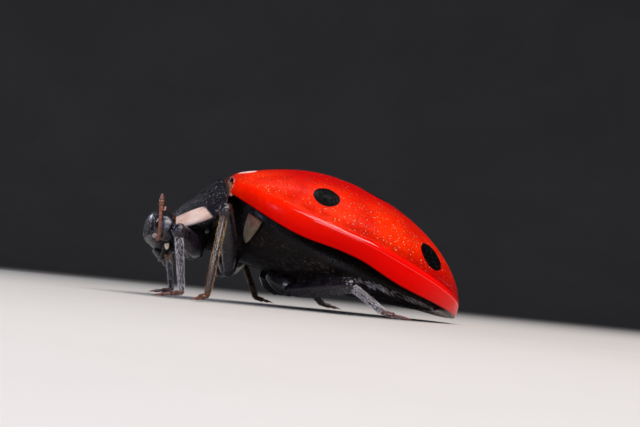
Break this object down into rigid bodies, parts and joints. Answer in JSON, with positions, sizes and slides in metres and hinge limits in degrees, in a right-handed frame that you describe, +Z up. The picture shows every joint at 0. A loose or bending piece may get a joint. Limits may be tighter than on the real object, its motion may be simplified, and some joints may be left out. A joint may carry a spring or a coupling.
{
  "type": "seven-spot ladybird",
  "caption": "Still life-size ladybird standing on a floor: red domed wing cases with black spots, black pronotum and bent-down head, six legs, antennae",
  "frame": {"origin": "centre of the insect's footprint box, on the floor that the feet stand on", "axes": "+X toward the tail, -X toward the head; -Y is the insect's left side, +Y its right; +Z up"},
  "size_m": [0.0072, 0.0067, 0.0031],
  "materials": {
    "shell_red": "glossy, finely punctured red cuticle with round black spots",
    "cuticle_black": "glossy black cuticle, finely net-patterned on the sides; cream corners on the pronotum",
    "eye_black": "very glossy black faceted eye",
    "mouth_brown": "translucent orange-brown antenna and palp",
    "plate_cream": "satin cream cuticle",
    "leg_black": "black cuticle with short pale hairs, brown toward the claws"
  },
  "bodies": {
    "root": {"abdomen_1": "cuticle_black", "abdomen_2": "cuticle_black", "abdomen_3": "cuticle_black", "abdomen_4": "cuticle_black", "abdomen_5": "cuticle_black", "abdomen_6": "cuticle_black", "antenna_left": "mouth_brown", "antenna_right": "mouth_brown", "elytron_left": "shell_red", "elytron_right": "shell_red", "eye_left": "eye_black", "eye_right": "eye_black", "front_coxa_left": "leg_black", "front_coxa_right": "leg_black", "front_femur_left": "leg_black", "front_femur_right": "leg_black", "front_tarsus_left": "leg_black", "front_tarsus_right": "leg_black", "front_tibia_left": "leg_black", "front_tibia_right": "leg_black", "head": "cuticle_black", "hind_coxa_left": "leg_black", "hind_coxa_right": "leg_black", "hind_femur_left": "leg_black", "hind_femur_right": "leg_black", "hind_tarsus_left": "leg_black", "hind_tarsus_right": "leg_black", "hind_tibia_left": "leg_black", "hind_tibia_right": "leg_black", "labrum": "cuticle_black", "mandible_left": "plate_cream", "mandible_right": "plate_cream", "mesepimeron_left": "plate_cream", "mesepimeron_right": "plate_cream", "mesothorax": "cuticle_black", "metasternum": "cuticle_black", "middle_coxa_left": "leg_black", "middle_coxa_right": "leg_black", "middle_femur_left": "leg_black", "middle_femur_right": "leg_black", "middle_tarsus_left": "leg_black", "middle_tarsus_right": "leg_black", "middle_tibia_left": "leg_black", "middle_tibia_right": "leg_black", "palp_left": "mouth_brown", "palp_right": "mouth_brown", "pronotum": "cuticle_black", "prosternum": "cuticle_black", "scutellum": "cuticle_black"}
  },
  "joints": []
}
